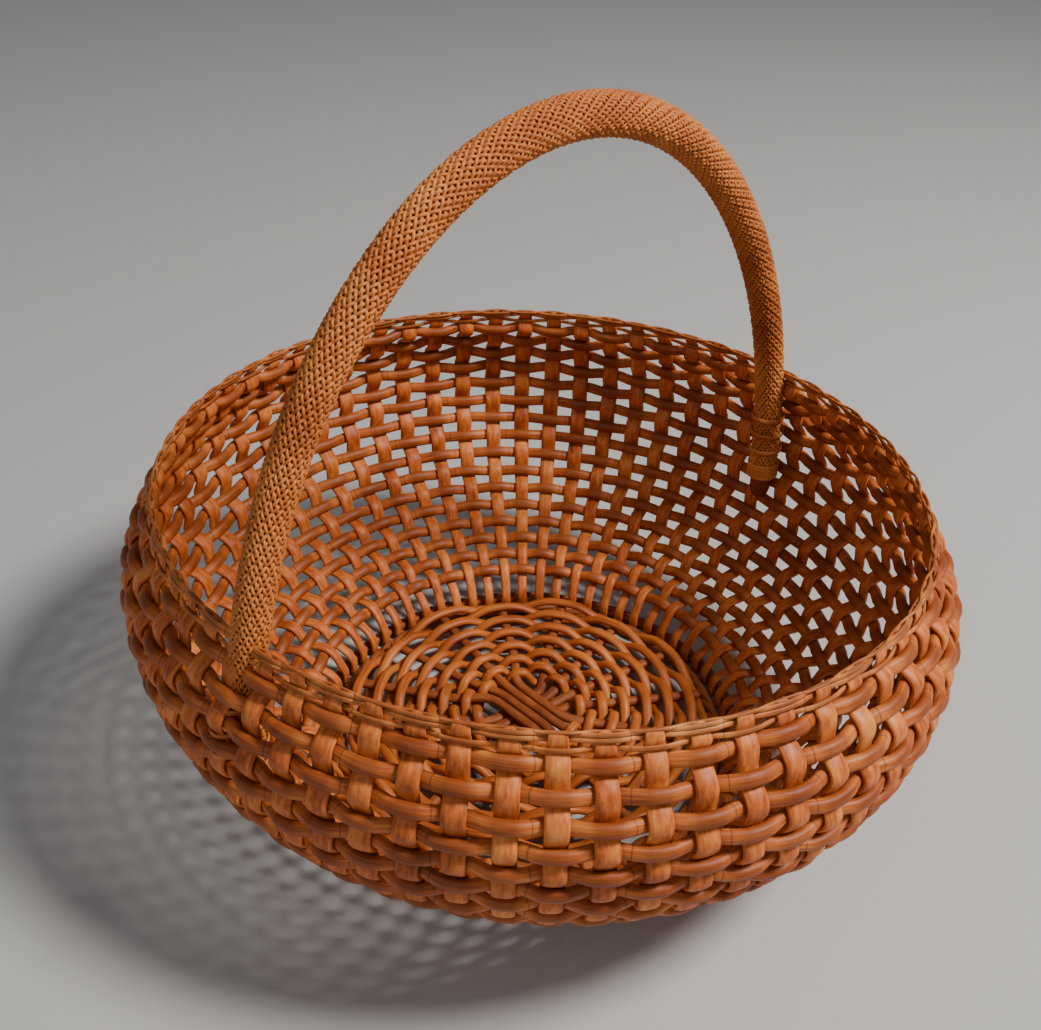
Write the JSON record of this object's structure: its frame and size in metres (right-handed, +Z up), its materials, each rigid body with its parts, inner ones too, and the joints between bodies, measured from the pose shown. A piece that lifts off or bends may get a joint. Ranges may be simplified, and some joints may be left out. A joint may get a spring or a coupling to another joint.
{
  "type": "woven fruit basket",
  "caption": "Round bowl-shaped fruit basket of plain-woven tan cane with a fixed braided hoop handle.",
  "frame": {"origin": "centre of the standing edge, on the surface the basket stands on", "axes": "+Z up; +X along the hoop handle's plane, from one leg to the other; +Y across it"},
  "size_m": [0.3016, 0.3014, 0.2553],
  "materials": {
    "weaving_cane": "satin",
    "stake_cane": "satin",
    "rim_reed": "satin",
    "rattan_rod": "satin",
    "braid_cane": "satin"
  },
  "bodies": {
    "root": {"base_sticks_lower": "rattan_rod", "base_sticks_upper": "rattan_rod", "base_round_1": "weaving_cane", "base_round_2": "weaving_cane", "base_round_3": "weaving_cane", "base_round_4": "weaving_cane", "base_round_5": "weaving_cane", "base_round_6": "weaving_cane", "base_round_7": "weaving_cane", "base_round_8": "weaving_cane", "base_round_9": "weaving_cane", "base_round_10": "weaving_cane", "base_round_11": "weaving_cane", "base_round_12": "weaving_cane", "foot_wale_inner": "rattan_rod", "foot_wale_outer": "rattan_rod", "stakes_odd": "stake_cane", "stakes_even": "stake_cane", "weaver_row_1": "weaving_cane", "weaver_row_2": "weaving_cane", "weaver_row_3": "weaving_cane", "weaver_row_4": "weaving_cane", "weaver_row_5": "weaving_cane", "weaver_row_6": "weaving_cane", "weaver_row_7": "weaving_cane", "weaver_row_8": "weaving_cane", "weaver_row_9": "weaving_cane", "weaver_row_10": "weaving_cane", "weaver_row_11": "weaving_cane", "weaver_row_12": "weaving_cane", "weaver_row_13": "weaving_cane", "weaver_row_14": "weaving_cane", "weaver_row_15": "weaving_cane", "weaver_row_16": "weaving_cane", "rim_reed_inner_low": "rim_reed", "rim_reed_inner_high": "rim_reed", "rim_reed_outer_low": "rim_reed", "rim_reed_outer_high": "rim_reed", "handle_core": "rattan_rod", "handle_sleeve": "braid_cane", "handle_bindings": "braid_cane", "handle_lashings": "rim_reed"}
  },
  "joints": []
}
